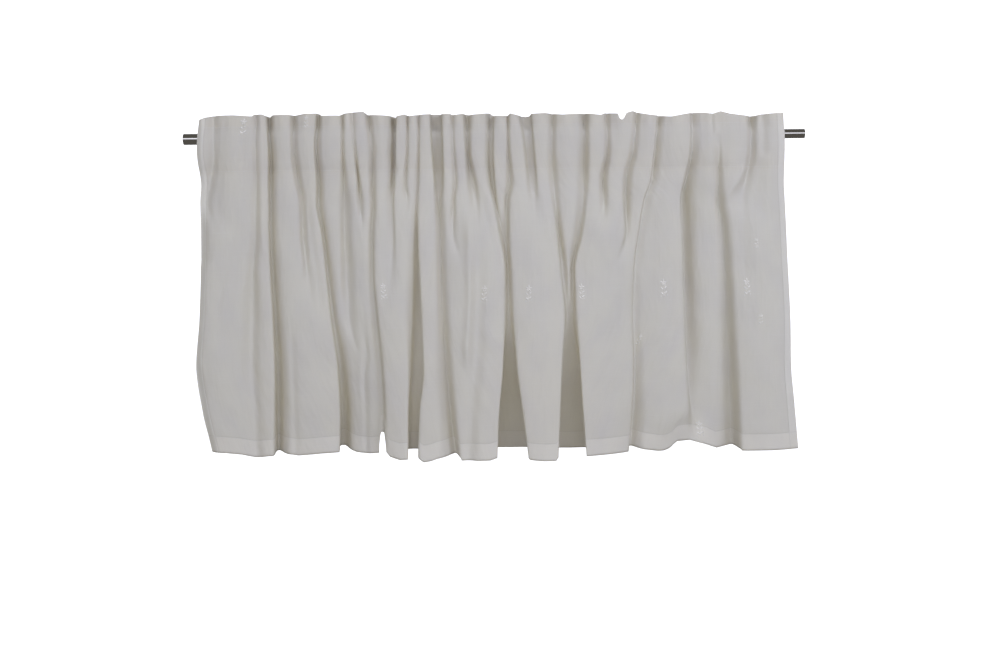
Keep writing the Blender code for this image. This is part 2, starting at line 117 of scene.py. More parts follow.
# %% The furrows
# core: left and right edge of the dark part at each level, or None where the furrow hasn't
# begun. Where the row ends early, the furrow has faded into its face. hem: how low its
# bottom hangs. The other columns hold one value, or three or four from the heading to the
# hem. depth: how far back it goes. lean: whether its deepest line lies under the left edge
# (-1), in the middle (0) or under the right edge (1). flat: share of the core that is flat
# bottom. left, right: how far the face beside it slopes down into it.
Furrow = namedtuple("Furrow", "name depth lean flat left right hem core")
V = 0.2                        # the bottom of a furrow that is like a V
FURROWS = [Furrow(*row) for row in (
    ("panel_dent", (8, 8, 2, 0), 0, V, (6, 3, 3), (12, 12, 10), -546, (
        (-489, -474), (-489, -477), (-498, -484), (-503, -492))),
    ("panel_valley", (5.6, 7.2, 15, 8.4), 0, V, (3, 8, 12), (2, 6, 10), -558, (
        (-410, -405), (-412, -407), (-414, -407), (-417, -408), (-420, -410), (-431, -413),
        (-441, -411), (-446, -413), (-441, -412), (-437, -413))),
    ("f01", (23, 18, 24, 37), -0.9, V, 1, (7, 10, 14), -551, (
        (-388, -380), (-386, -376), (-388, -377), (-388, -378), (-389, -379), (-388, -378),
        (-386, -375), (-385, -372), (-388, -372), (-390, -375))),
    ("f02", (16, 11, 11, 8), (-0.4, -0.6, 0), V, (3, 3, 5), 5, -551, (
        (-347, -337), (-347, -336), (-341, -331), (-335, -327), (-334, -325), (-329, -323))),
    ("f03", (16, 16, 16, 44), (-0.7, -0.9, -0.9), V, 1, (4, 6, 13), -545, (
        (-302, -296), (-307, -297), (-305, -294), (-306, -294), (-298, -291), (-292, -285),
        (-285, -278), (-275, -260), (-272, -258), (-274, -262))),
    ("f04", (8.9, 14, 16, 10), (0, -0.6, 0), V, (1, 4, 12), (2, 11, 15), -549, (
        (-261, -258), (-262, -258), (-265, -254), (-267, -249), (-266, -248), (-264, -246),
        (-261, -248))),
    ("f05", (5.3, 16, 14, 8), (0, -0.6, 0), V, 1, 2, -550, (
        (-246, -240), (-240, -237), (-236, -232), (-234, -229))),
    ("f06", (15, 12, 8.4, 10), (-0.3, 0.6, 0.6), V, (4, 2, 2), (5, 2, 4), -512, (
        (-218, -211), (-213, -204), (-214, -206), (-214, -206), (-218, -210), (-218, -212),
        (-214, -207), (-207, -200), (-205, -198), (-205, -199))),
    ("f07", (27, 8.9, 3.5, 8), (0.7, 0.5, 0), V, (4, 3, 3), (1, 2, 2), -552, (
        (-180, -169), (-181, -171), (-183, -173), (-185, -175), (-184, -174), (-184, -176))),
    ("f08", (7.7, 5.1, 6, 6), 0, V, 0, 0, -555, (
        (-150, -146), (-152, -147), (-156, -150), (-153, -149))),
    ("f09", (6.6, 8, 33, 42), (0.6, 1, 0), (V, V, 0.8), (1, 14, 1), (0.5, 0.5, 2), -544, (
        (-131, -128), (-132, -129), (-135, -131), (-136, -133), (-137, -134), (-142, -133),
        (-147, -131), (-145, -129), (-149, -138), (-151, -141))),
    ("f10", (26, 15, 19, 32), (0, -0.5, 0.5), (0.7, V, V), (2, 6, 12), (3, 8, 3), -550, (
        (-107, -92), (-105, -91), (-101, -91), (-100, -92), (-98, -89), (-97, -87), (-97, -84),
        (-98, -78), (-94, -73), (-90, -66))),
    ("f11", (7, 8.2, 8.7, 6), 0, V, (1, 2, 2), (1, 2, 2), -556, (
        (-74, -69), (-73, -67), (-71, -64), (-73, -68), (-75, -70))),
    ("f12", (19, 12, 8, 8), (0, 0.6, 0), (0.5, V, V), (2, 6, 6), (3, 6, 9), -556, (
        (-51, -41), (-48, -42), (-46, -32), (-43, -27))),
    ("f13", (19, 17, 17, 80), (0.6, 0.6, 0), (0.4, V, 0.9), (4, 2, 1), (1, 2, 1), -549, (
        (-12, -1), (-15, -3), (-11, -1), (-1, 2), (10, 11), (19, 20), (18, 20), (15, 21),
        (8, 20), (5, 22))),
    ("f14", (8.8, 15, 17, 80), (0, -0.6, 0), (V, V, 0.9), (1, 2, 1), (1, 2, 2), -549, (
        (22, 25), (22, 27), (20, 34), (17, 26), (18, 24), (24, 25), (24, 28), (25, 32),
        (27, 41), (29, 49))),
    ("f15", (19, 7.8, 8, 8), (0, 0.6, 0), (0.7, V, V), (6, 6, 3), 2, -557, (
        (47, 62), (56, 67), (60, 71), (61, 72))),
    ("f16", (14, 10, 25, 78), (0, -0.6, 0), (V, V, 0.9), (5, 2, 3), (3, 3, 2), -553, (
        (96, 106), (94, 105), (95, 110), (100, 112), (108, 116), (116, 123), (122, 124),
        (118, 123), (115, 125), (112, 126))),
    ("f17", (21, 12, 23, 78), (0.4, 0.6, 0), (V, V, 0.9), (7, 4, 2), (3, 2, 3), -553, (
        (147, 161), (146, 161), (143, 160), (141, 157), (136, 148), (130, 134), (128, 137),
        (132, 141), (133, 145), (135, 150))),
    ("f18", (11, 19, 8, 8), (0, 0.6, 0), V, (3, 6, 6), (3, 4, 6), -553, (
        (189, 199), (191, 199), (181, 193), (181, 193))),
    ("f19", (12, 17, 11, 8), (0, -0.8, 0), V, (5, 2, 2), (5, 7, 9), -551, (
        (241, 250), (234, 245), (223, 235), (223, 235), (227, 231))),
    ("f20", (15, 8, 7.5, 20), (-0.8, -0.9, -0.8), V, (1, 1, 2), (6, 10, 11), -546, (
        (282, 291), (276, 286), (270, 282), (259, 272), (250, 262), (242, 252), (240, 247),
        (243, 252), (241, 254), (236, 248))),
    ("f21", (12, 27, 27, 20), (-0.4, -0.9, -0.8), V, (3, 2, 4), (10, 12, 18), -545, (
        (338, 346), (337, 349), (328, 344), (324, 343), (327, 345), (330, 349), (334, 358),
        (338, 357), (342, 358))),
    ("f22", (5.2, 13, 17, 26), (0, 0.1, 0.4), V, (3, 8, 12), (4, 9, 2), -549, (
        None, (386, 388), (383, 391), (381, 393), (385, 403), (389, 408), (391, 413),
        (396, 420), (400, 425), (405, 428))),
    ("f23", (16, 6.8, 4, 2.5), 0, V, (7, 13, 13), (8, 10, 10), -551, (
        (435, 449), (437, 448), (428, 442), (416, 438))),
)]
FURROWS = [f._replace(core=f.core + (None,) * (len(LEVELS) - len(f.core))) for f in FURROWS]
ZONES = {3: (1.5, 4.5, 8.5), 4: (0.5, 3, 6, 8.5)}     # the levels at which the values hold


def at_level(values, level):
    """A column's value at a level: a single number holds at all of them."""
    if isinstance(values, tuple):
        return float(np.interp(level, ZONES[len(values)], values))
    return values


print(len(FURROWS), "furrows")

# %% The faces between the furrows
# front: how far the face stands out in front of the rod's axis at the hem. columns: mesh
# columns inside the face. sunk: the level from which it lies at the bottom of the furrows
# beside it.
Face = namedtuple("Face", "front columns sunk")
FACES = [Face(*row) for row in (
    (14, 5, None), (16, 16, None), (20, 8, None), (20, 10, None), (18, 9, None), (8, 8, None),
    (20, 8, None), (24, 8, None), (48, 8, None), (54, 7, None), (56, 7, None), (62, 9, None),
    (62, 8, None), (66, 8, None), (66, 9, None), (66, 6, 4), (70, 9, None), (68, 9, None),
    (60, 8, 6), (44, 8, None), (42, 10, None), (18, 9, None), (18, 12, None), (-18, 10, None),
    (20, 9, None), (16, 16, None))]

# The hem's edge along the faces, from left to right, as (x, height).
HEM_EDGE = (
    (-507, -546), (-502, -548), (-477, -549), (-427, -555), (-396, -555), (-378, -549),
    (-372, -551), (-351, -554), (-307, -550), (-280, -549), (-262, -550), (-246, -551),
    (-227, -552), (-208, -550), (-196, -541), (-186, -552), (-169, -557), (-152, -556),
    (-140, -550), (-127, -560), (-115, -558), (-93, -551), (-66, -550), (-62, -558),
    (-12, -557), (4, -552), (48, -547), (57, -556), (82, -558), (102, -558), (109, -549),
    (151, -554), (155, -556), (180, -555), (233, -553), (246, -548), (264, -550),
    (286, -553), (298, -552), (307, -547), (317, -537), (341, -536), (371, -546),
    (386, -552), (399, -557), (424, -543), (430, -553), (487, -552), (534, -550),
)
NOTCH = 219                    # the header has a small nick above one furrow

# The header's edge, from left to right, as (x, height): a little ragged, as the turned
# edge of a gathered cloth is.
HEADER_EDGE = (
    (-506, 32), (-495, 36), (-485, 38), (-471, 39), (-445, 39), (-414, 37), (-410, 40),
    (-396, 40), (-387, 36), (-380, 39), (-352, 39), (-339, 38), (-325, 40), (-302, 41),
    (-296, 37), (-263, 37), (-258, 40), (-244, 42), (-223, 43), (-217, 38), (-180, 36),
    (-170, 34), (-153, 38), (-146, 35), (-127, 37), (-110, 38), (-75, 38), (-70, 36),
    (-53, 38), (-41, 36), (-7, 39), (0, 34), (23, 34), (28, 38), (48, 33), (60, 32),
    (64, 37), (88, 38), (117, 35), (157, 37), (183, 34), (191, 37), (212, 36),
    (NOTCH - 4, 27), (NOTCH, 25), (NOTCH + 4, 28), (NOTCH + 8, 37), (238, 40), (252, 36),
    (269, 33), (303, 30), (320, 33), (338, 36), (360, 36), (374, 34), (387, 38),
    (403, 34), (437, 30), (448, 30), (455, 32), (494, 35),
)
print(len(FACES), "faces and", len(HEADER_EDGE), "points on the header's edge")

# %% [markdown]
# ## From the tables to a section
#
# At each level the cloth is a line seen from above: along a face, down into a furrow,
# across its bottom and out again. One side of most furrows is steep, because the face
# beside it has rolled over it, and the other side is a gentle slope that catches the light.
# That difference is what makes a row of furrows look like cloth and not like grooves.

# %% The shape of a furrow
GATHER_DEPTH = 31.0            # from the faces to the furrow bottoms in the heading
HEADING_FRONT = 28.0           # how far its faces stand out in front of the rod's axis
CROWN = ((0, 0.20), (1, 0.10), (4, 0.07), (9, 0.06))     # bulge of a face, by level
MAX_CROWN = 6.0
NARROWEST_FURROW = 2.3
FADING = 0.6                   # share of the depth left just before a furrow fades out
FADING_SLOPE = 4.0             # how far its sides slope outwards there
UNDERCUT_ROOM = 0.3            # share of a face's width that one undercut may reach
SINKING = 0.5                  # share of the depth a face has dropped before it is sunk
CLOTH_ROOM = 0.8               # half of the thickness that the CAD cloth has


def blend(a, b, t):
    return a + (b - a) * t


def is_fading(furrow, level):
    """True where a furrow is closed at this level or at one beside it."""
    return None in furrow.core[max(0, level - 1):level + 2]


def is_sunk(face_index, level):
    sunk = FACES[face_index].sunk
    return sunk is not None and level >= sunk


def depth_at(furrow, level):
    return at_level(furrow.depth, level) * (FADING if is_fading(furrow, level) else 1)


def core_at(furrow, level):
    """Left and right edge of a furrow's core, widened where it is too narrow."""
    left, right = furrow.core[level]
    short = max(0, NARROWEST_FURROW - (right - left))
    return left - short / 2, right + short / 2


def opening(furrow, level):
    """Left and right edge of a furrow where the faces beside it begin to slope down."""
    left, right = core_at(furrow, level)
    slope = FADING_SLOPE if is_fading(furrow, level) else 0
    return (left - max(slope, at_level(furrow.left, level)) - CLOTH_ROOM,
            right + max(slope, at_level(furrow.right, level)) + CLOTH_ROOM)

# %% Where a faded furrow's columns lie
REST_STEP = 2.2                # from one column of a faded furrow to the next
REST_MARGIN = 0.08             # share of the face kept between them and its edge


def neighbours(index, level):
    """The nearest open furrows to the left and to the right of a furrow, or None."""
    is_open = [i for i, furrow in enumerate(FURROWS) if furrow.core[level] is not None]
    before = [FURROWS[i] for i in is_open if i < index]
    after = [FURROWS[i] for i in is_open if i > index]
    return before[-1] if before else None, after[0] if after else None


def face_span(index, level):
    """Edges of the face that a furrow lies in."""
    before, after = neighbours(index, level)
    return (opening(before, level)[1] if before else LEFT_SIDE[level],
            opening(after, level)[0] if after else RIGHT_SIDE[level])


def faded_place(index, level):
    """Middle of a faded furrow, at the share of the face that it last held."""
    core = FURROWS[index].core
    last = min((k for k in range(len(core)) if core[k]), key=lambda k: abs(k - level))
    before, after = neighbours(index, level)
    left = opening(before, last)[1] if before and before.core[last] else LEFT_SIDE[last]
    right = opening(after, last)[0] if after and after.core[last] else RIGHT_SIDE[last]
    share = (sum(core[last]) / 2 - left) / (right - left)
    return blend(*face_span(index, level), min(1 - REST_MARGIN, max(REST_MARGIN, share)))

# %% One furrow: four corners, then a mesh column at every step between them
WALL_COLUMNS = 5               # between an edge and the bottom
WIDE_SLOPE = 9.0               # a wall as wide as this leaves the face in a soft curve
BOTTOM_COLUMNS = 1
FURROW_COLUMNS = 4 + 2 * WALL_COLUMNS + BOTTOM_COLUMNS


def corners(index, level, fronts):
    """An open furrow's four corners as (x, how far in front of the rod)."""
    furrow = FURROWS[index]
    left, right = opening(furrow, level)
    depth = depth_at(furrow, level)
    bottom = (fronts[index] + fronts[index + 1]) / 2 - depth
    lean, flat = at_level(furrow.lean, level), at_level(furrow.flat, level)
    core_left, core_right = core_at(furrow, level)
    width = core_right - core_left
    deep_left = core_left + (1 - flat) * width * (1 + lean) / 2
    deep_right = deep_left + flat * width
    face_left, face_right = face_span(index, level)
    room = (UNDERCUT_ROOM * (left - face_left), UNDERCUT_ROOM * (face_right - right))
    steep = (max(-lean, flat) > 0.5, max(lean, flat) > 0.5)
    ends = [is_fading(furrow, level) or is_sunk(k, level + 1) for k in (index, index + 1)]
    undercut = [min(UNDERCUT[level] * depth, space) if side and not end else 0
                for space, side, end in zip(room, steep, ends)]
    edges = [fronts[k] - (SINKING * depth if is_sunk(k, level + 1) else 0)
             for k in (index, index + 1)]
    return [(left, edges[0]), (deep_left - undercut[0], bottom),
            (deep_right + undercut[1], bottom), (right, edges[1])]


def sink_face(before, after):
    """Lay a sunk face, and the furrow edges beside it, flat along the common bottom."""
    start, end = before[1][0], after[2][0]
    bottom = min(before[1][1], after[2][1])
    for corner, share in ((1, 0), (2, 1 / 6), (3, 2 / 6)):
        before[corner] = (blend(start, end, share), bottom)
        after[3 - corner] = (blend(end, start, share), bottom)


def furrow_columns(four):
    """The columns down one wall, over the bottom and up the other wall."""
    line = []
    spans = zip(zip(four, four[1:]), (WALL_COLUMNS, BOTTOM_COLUMNS, WALL_COLUMNS), (1, 0, -1))
    for (a, b), inside, way in spans:
        bend = 1 + min(1, abs(b[0] - a[0]) / WIDE_SLOPE)
        for step in range(inside + 1):
            t = step / (inside + 1)
            drop = {1: t ** bend, 0: t, -1: 1 - (1 - t) ** bend}[way]
            line.append((blend(a[0], b[0], t), blend(a[1], b[1], drop)))
    return line + [four[3]]

# %% The whole section at one level
NARROWEST_COLUMN = 0.9
EVENING_STEPS = (0, 0.25, 0.5, 0.75, 1)


def front_at(face, level):
    """How far a face stands out at a level: as the heading does, then its own place."""
    run = max(0, level - 1) / (len(LEVELS) - 2)
    return blend(HEADING_FRONT, face.front, run)


def spread(marks, x0, x1):
    """Places of the columns of one face, moved towards an even spread if one is narrow."""
    places = []
    for k, (kind, value) in enumerate(marks):
        if kind == "rest":
            places.append(value)
            continue
        before = places[-1] if places else x0
        after = next((m[1] for m in marks[k + 1:] if m[0] == "rest"), x1)
        places += [blend(before, after, n / (value + 1)) for n in range(1, value + 1)]
    even = np.linspace(x0, x1, len(places) + 2)[1:-1]
    for t in EVENING_STEPS:
        mixed = blend(np.array(places), even, t)
        if np.diff([x0, *mixed, x1]).min() > NARROWEST_COLUMN:
            break
    return mixed


def section(level):
    """The middle line of the cloth at one level: an (x, y) for every mesh column."""
    fronts = [front_at(face, level) for face in FACES]
    furrows = [None if furrow.core[level] is None else corners(i, level, fronts)
               for i, furrow in enumerate(FURROWS)]
    for k in range(1, len(FACES) - 1):
        if is_sunk(k, level):
            sink_face(furrows[k - 1], furrows[k])
    line = [(LEFT_SIDE[level], -fronts[0])]
    loose = []                                   # columns waiting for the face's far end

    def lay_face(end_x, end_y):
        x0, y0 = line[-1]
        crown = min(MAX_CROWN, np.interp(level, *zip(*CROWN)) * (end_x - x0))
        for x in spread(loose, x0, end_x):
            t = (x - x0) / (end_x - x0)
            line.append((x, blend(y0, end_y, t) - crown * 4 * t * (1 - t)))
        loose.clear()

    for i, face in enumerate(FACES):
        loose.append(("inside", face.columns))
        if i == len(FURROWS):
            break
        if furrows[i] is None:
            place = faded_place(i, level)
            middle = (FURROW_COLUMNS - 1) / 2
            loose += [("rest", place + (n - middle) * REST_STEP) for n in range(FURROW_COLUMNS)]
            continue
        columns = [(x, -front) for x, front in furrow_columns(furrows[i])]
        lay_face(*columns[0])
        line += columns
    lay_face(RIGHT_SIDE[level], -fronts[-1])
    line.append((RIGHT_SIDE[level], -fronts[-1]))
    return np.array(line)

# %% The sections at all levels
def length_of(line):
    return np.linalg.norm(np.diff(line, axis=0), axis=1).sum()


SECTIONS = np.array([section(level) for level in range(len(LEVELS))])
COLUMNS = SECTIONS.shape[1]
print(COLUMNS, "columns; cloth along each level", [round(length_of(line)) for line in SECTIONS])

# %% [markdown]
# ## From sections to a surface
#
# Between two levels every column follows a smooth curve that never overshoots its points,
# which helps to keep furrows from crossing. Each row is then softened along the cloth, which
# is what bending stiffness does: a straight wall stays straight, a corner turns round.
# The radius is small in the sewn heading and grows towards the free hem.

# %% A smooth curve through the levels
def smooth_curve(knots, values, places):
    """Piecewise cubic through values, one row a knot, without overshoot."""
    knots, values = np.asarray(knots, float), np.asarray(values, float)
    gaps = np.diff(knots).reshape(-1, *[1] * (values.ndim - 1))
    slopes = np.diff(values, axis=0) / gaps
    same_way = slopes[:-1] * slopes[1:] > 0
    inner = np.where(same_way, 2 * slopes[:-1] * slopes[1:]
                     / np.where(same_way, slopes[:-1] + slopes[1:], 1), 0)
    tangents = np.concatenate([slopes[:1], inner, slopes[-1:]])
    result = []
    for place in places:
        k = int(np.clip(np.searchsorted(knots, place) - 1, 0, len(knots) - 2))
        gap = knots[k + 1] - knots[k]
        t = (place - knots[k]) / gap
        result.append((1 + 2 * t) * (1 - t) ** 2 * values[k]
                      + t * (1 - t) ** 2 * gap * tangents[k]
                      + t * t * (3 - 2 * t) * values[k + 1]
                      + t * t * (t - 1) * gap * tangents[k + 1])
    return np.array(result)

# %% The rows of the mesh
HEADER_ROWS, POCKET_ROWS, SKIRT_ROWS, HEM_ROWS = 6, 20, 92, 8
HEM_LINE = BOTTOM + HEM_HEIGHT
heights = np.concatenate([
    np.linspace(TOP, UPPER_STITCH, HEADER_ROWS, endpoint=False),
    np.linspace(UPPER_STITCH, LOWER_STITCH, POCKET_ROWS, endpoint=False),
    np.linspace(LOWER_STITCH, HEM_LINE, SKIRT_ROWS, endpoint=False),
    np.linspace(HEM_LINE, BOTTOM, HEM_ROWS)])
ROWS = len(heights)
grid = smooth_curve([-level for level in LEVELS], SECTIONS, -heights)
print(ROWS, "rows of", COLUMNS, "columns")

# %% Soften each row along the cloth
SOFTNESS = ((38, 1.2), (-60, 1.5), (-120, 2.2), (-250, 3.5), (-553, 4.5))   # height, radius
FINE_STEP = 1.0


def soften(line, radius):
    """Move each point to the weighted middle of the cloth around it."""
    along = np.concatenate([[0], np.cumsum(np.linalg.norm(np.diff(line, axis=0), axis=1))])
    count = int(along[-1] / FINE_STEP)
    fine = np.linspace(0, along[-1], count)
    reach = int(3 * radius / FINE_STEP) + 1
    weights = np.exp(-0.5 * (np.arange(-reach, reach + 1) * FINE_STEP / radius) ** 2)
    weights /= weights.sum()
    result = np.empty_like(line)
    for axis in (0, 1):
        values = np.interp(fine, along, line[:, axis])
        before = 2 * values[0] - values[reach:0:-1]
        after = 2 * values[-1] - values[-2:-reach - 2:-1]
        smooth = np.convolve(np.concatenate([before, values, after]), weights, 'valid')
        result[:, axis] = np.interp(along, fine, smooth)
    return result


def softness_at(height):
    places, radii = zip(*reversed(SOFTNESS))
    return np.interp(height, places, radii)


grid = np.array([soften(line, softness_at(z)) for line, z in zip(grid, heights)])
print("softened; width at the hem", round(np.ptp(grid[-1, :, 0])), "mm")

# %% Heights of the header's edge and of the hem, for every column
HEM_STEP = 3.0                 # beside a steep wall the hem steps down close to the face


def hem_heights(x):
    """Along the faces the hem follows its table; in a furrow it has the furrow's height."""
    result = np.interp(x, *zip(*HEM_EDGE))
    column = 1
    for face, furrow in zip(FACES, FURROWS):
        start = column + face.columns
        column = start + FURROW_COLUMNS
        if furrow.core[-1]:
            ends = result[start], result[column - 1]
            wall = np.linspace(0, 1, WALL_COLUMNS + 2)
            steps = [HEM_STEP if at_level(side, len(LEVELS) - 1) < WIDE_SLOPE / 2 else 1
                     for side in (furrow.left, furrow.right)]
            result[start:column] = np.concatenate([
                blend(ends[0], furrow.hem, 1 - (1 - wall) ** steps[0]),
                [furrow.hem] * BOTTOM_COLUMNS,
                blend(furrow.hem, ends[1], wall ** steps[1])])
    for k, face in enumerate(FACES):
        if face.sunk is not None:                # it hangs like the furrows beside it
            start = 1 + sum(f.columns for f in FACES[:k]) + k * FURROW_COLUMNS
            low = blend(FURROWS[k - 1].hem, FURROWS[k].hem, 0.5)
            result[start - WALL_COLUMNS - 2:start + face.columns + WALL_COLUMNS + 2] = low
    return result


EDGE_X, EDGE_Z = zip(*HEADER_EDGE)
header = np.interp(grid[0, :, 0], EDGE_X, EDGE_Z)
hem = hem_heights(grid[-1, :, 0])
z_grid = np.repeat(heights[:, None], COLUMNS, axis=1)
in_header = z_grid > UPPER_STITCH
z_grid = np.where(in_header, UPPER_STITCH + (z_grid - UPPER_STITCH) * (header - UPPER_STITCH)
                  / (TOP - UPPER_STITCH), z_grid)
FREE_HEM = LEVELS[-2]          # from here down the rows follow the hem, which keeps its height
in_skirt = (z_grid < FREE_HEM) & (z_grid > HEM_LINE)
z_grid = np.where(z_grid <= HEM_LINE, z_grid - BOTTOM + hem, z_grid)
z_grid = np.where(in_skirt, FREE_HEM + (z_grid - FREE_HEM) * (hem + HEM_HEIGHT - FREE_HEM)
                  / (HEM_LINE - FREE_HEM), z_grid)
print("header from", header.min(), "to", header.max(), "hem from", hem.min(), "to", hem.max())

# %% [markdown]
# ## The pocket for the rod
#
# Between the two sewn lines the cloth has two layers, one in front of the rod and one
# behind it. Both are gathered, and neither can pass through the steel, so each layer's
# zigzag is squeezed into the room on its own side of the rod.

# %% Squeeze the layers round the rod
# height; y of the front layer on its faces and at the bottom of its furrows; the same for
# the layer behind the rod, where the front's faces and furrow bottoms are.
SEWN = (-HEADING_FRONT, GATHER_DEPTH - HEADING_FRONT)
POCKET = (
    (UPPER_STITCH, *SEWN, *SEWN),
    (12.5, -29.0, -4.0, 2.0, 22.0),
    (8.2, -30.0, -9.4, 9.4, 25.0),
    (0.0, -31.0, -ROD_REACH, ROD_REACH, 26.0),
    (-9.0, -31.0, -8.8, 8.8, 26.0),
    (-45.0, -29.5, 0.0, 4.0, 22.0),
    (LOWER_STITCH, *SEWN, *SEWN),
)
pocket_places = [-row[0] for row in POCKET]
pocket_values = [row[1:] for row in POCKET]


def layers_at(line, height):
    """y of the front layer and of the layer behind the rod, for one row."""
    places = smooth_curve(pocket_places, pocket_values, [-height])[0]
    share = (line[:, 1] + HEADING_FRONT) / GATHER_DEPTH
    return blend(places[0], places[1], share), blend(places[2], places[3], share)


def rod_room(height):
    """How far in front of the rod's axis, and behind it, the cloth has to stay."""
    return np.sqrt(max(0, ROD_REACH ** 2 - height ** 2))


y_front = grid[:, :, 1].copy()
y_behind = y_front.copy()
for r, z in enumerate(heights):
    if LOWER_STITCH < z < UPPER_STITCH:
        y_front[r], y_behind[r] = layers_at(grid[r], z)
    if abs(z) < ROD_REACH:
        y_front[r] = np.minimum(y_front[r], -rod_room(z))
        y_behind[r] = np.maximum(y_behind[r], rod_room(z))
print("the pocket reaches from", y_front.min().round(1), "to", y_behind.max().round(1))

# %% [markdown]
# ## Soft valleys and creases
#
# Between the furrows the faces aren't smooth either. Where the gathers spread out, the
# cloth keeps soft valleys, a few sharp little creases and some slow waves of its own. Each
# one is a short path, pressed into the surface or raised from it with a soft edge. Only
# the depth changes, so the outline and the furrows stay where they are.

# %% The valleys, creases and waves
# depth: how far back in mm, or forward if negative. width: from its middle to its soft
# edge. path: places from top to bottom as (x, height).
Crease = namedtuple("Crease", "name depth width path")
CREASES = [Crease(*row) for row in (
    ("left_edge", 7, 9, (
        (-508, 38), (-513, -19), (-509, -74), (-511, -159), (-514, -223), (-519, -302),
        (-528, -392), (-519, -472), (-505, -553))),
    ("left_dent", 5, 14, (
        (-488, 39), (-482, -2), (-484, -36), (-495, -70), (-501, -113), (-504, -159),
        (-506, -208))),
    ("left_dimple", 2.5, 9, ((-430, 14), (-432, -37))),
    ("left_line", 1, 3, ((-431, -20), (-435, -79), (-437, -122))),
    ("left_slant", 1.2, 5, ((-446, -131), (-461, -199), (-482, -294))),
    ("step_ridge", -2, 5, ((-399, 38), (-399, -20), (-401, -105), (-402, -191))),
    ("f02_tail", 1.5, 5, ((-320, -132), (-313, -201), (-304, -278))),
    ("face_edge", 2, 5, ((-210, -330), (-202, -410), (-199, -470))),
    ("hem_valley_left", 2.2, 6, ((-355, -434), (-354, -486), (-355, -553))),
    ("small_crease_1", 1.2, 3, ((-297, -386), (-283, -400), (-269, -414))),
    ("small_crease_2", 1.5, 4, ((-227, -357), (-224, -383), (-233, -414), (-233, -444))),
    ("hem_valley_right", 2.5, 6, ((-230, -418), (-230, -478), (-231, -553))),
    ("small_crease_3", 1.8, 3.5, ((-179, -27), (-169, -56))),
    ("small_crease_4", 2, 3.5, ((-157, -74), (-151, -99))),
    ("crest", -4.5, 7, ((-44, -175), (-44, -281), (-50, -360))),
    ("wide_valley", 6, 12, ((-30, -300), (-33, -370), (-43, -454), (-49, -553))),
    ("slant", 1.5, 6, ((-20, -118), (-7, -164), (6, -216))),
    ("middle_ridge", -1.5, 6, ((82, -110), (95, -170), (108, -222))),
    ("right_line", 1.2, 4, ((308, -310), (303, -423), (302, -553))),
    ("top_line", 2, 3, ((372, 38), (374, 3))),
    ("spike", 2, 4, ((381, -10), (386, -62))),
    ("top_dent", 4, 4, ((442, 38), (442, 13))),
    ("top_ridge", -1.5, 2.5, ((452, 38), (452, 11))),
    ("top_shade", 3, 6, ((461, 38), (462, -28))),
    ("right_ridge", -3.5, 7, ((428, -62), (414, -88), (400, -106))),
    ("right_shade", 2.5, 12, ((424, -105), (429, -165), (431, -234))),
    ("f21_slope", 2.5, 10, ((335, -138), (335, -198), (336, -285), (339, -354))),
)]
FADE_OUT, FADE_SHARE = 15.0, 0.3   # over so many mm, or this share, a crease ends
BEYOND = 1000                  # a crease that runs off the cloth ends this far out, in mm
WHOLE_LENGTH = 900             # one as long as this doesn't fade by its share
WAVES = ((0.7, 0.031, 0.011, 0.4), (0.5, 0.053, 0.017, 2.1), (0.35, 0.087, 0.029, 4.0),
         (0.3, 0.047, 0.063, 1.3))                # height in mm, then radians per mm and start


def pressed(x, z):
    """How far back the creases and waves press the cloth at a place."""
    depth = np.zeros_like(x)
    for crease in CREASES:
        path_x, path_z = (np.array(values, float)[::-1] for values in zip(*crease.path))
        low = path_z[0] if path_z[0] > BOTTOM else -BEYOND
        high = path_z[-1] if path_z[-1] < UPPER_STITCH else BEYOND
        length = high - low
        fade_out = max(FADE_OUT, length * FADE_SHARE if length < WHOLE_LENGTH else 0)
        ends = np.clip(np.minimum(z - low, high - z) / fade_out + 1, 0, 1)
        off = (x - np.interp(z, path_z, path_x)) / crease.width
        depth += crease.depth * np.exp(-off ** 2) * ends ** 2 * (3 - 2 * ends)
    for size, across, down, start in WAVES:
        depth += size * np.sin(across * x + start + 2 * np.sin(down * z + start))
    return depth


y_front += pressed(grid[:, :, 0], z_grid)
for r, z in enumerate(heights):
    if LOWER_STITCH < z < UPPER_STITCH:            # nothing is pressed into the rod
        y_front[r] = np.minimum(y_front[r], smooth_curve(pocket_places, pocket_values, [-z])[0][1])
front = np.stack([grid[:, :, 0], y_front, z_grid], axis=-1)
behind = np.stack([grid[:, :, 0], y_behind, z_grid], axis=-1)
print(len(CREASES), "creases; the deepest presses", y_front.max().round(1))

# %% [markdown]
# ## One continuous sheet
#
# A tailor's cloth has no separate hem: the sheet is turned over. So the mesh runs like the
# cloth does, from the sewn-down edge behind the rod, up and over the header's edge, down
# the front, round the hem and a short way up again. The turned layers lie a millimetre
# behind the front. Where they double the cloth, less light comes through and it looks
# paler, and a painted lightening of the cloth's colour there adds a little to that.

# %% Turn the sheet over at the header and at the hem
def normals_of(points):
    """Unit normals of a grid of points, pointing to the back of the cloth."""
    across = np.gradient(points, axis=1)
    down = np.gradient(points, axis=0)
    result = np.cross(across, down)
    return result / np.linalg.norm(result, axis=2, keepdims=True)


def turned_layers(front, behind):
    """The rows behind the header, behind the rod and behind the hem."""
    offset = LAYER_GAP * normals_of(front)
    back = front + offset
    in_pocket = (heights < UPPER_STITCH) & (heights > LOWER_STITCH)
    back[in_pocket] = behind[in_pocket]
    last = int(np.argmax(heights <= LOWER_STITCH)) + 1       # just below the lower stitch
    heading = back[:last + 1][::-1]
    hem_rows = int(np.sum(heights < HEM_LINE))
    return heading, back[-hem_rows - 1:][::-1]


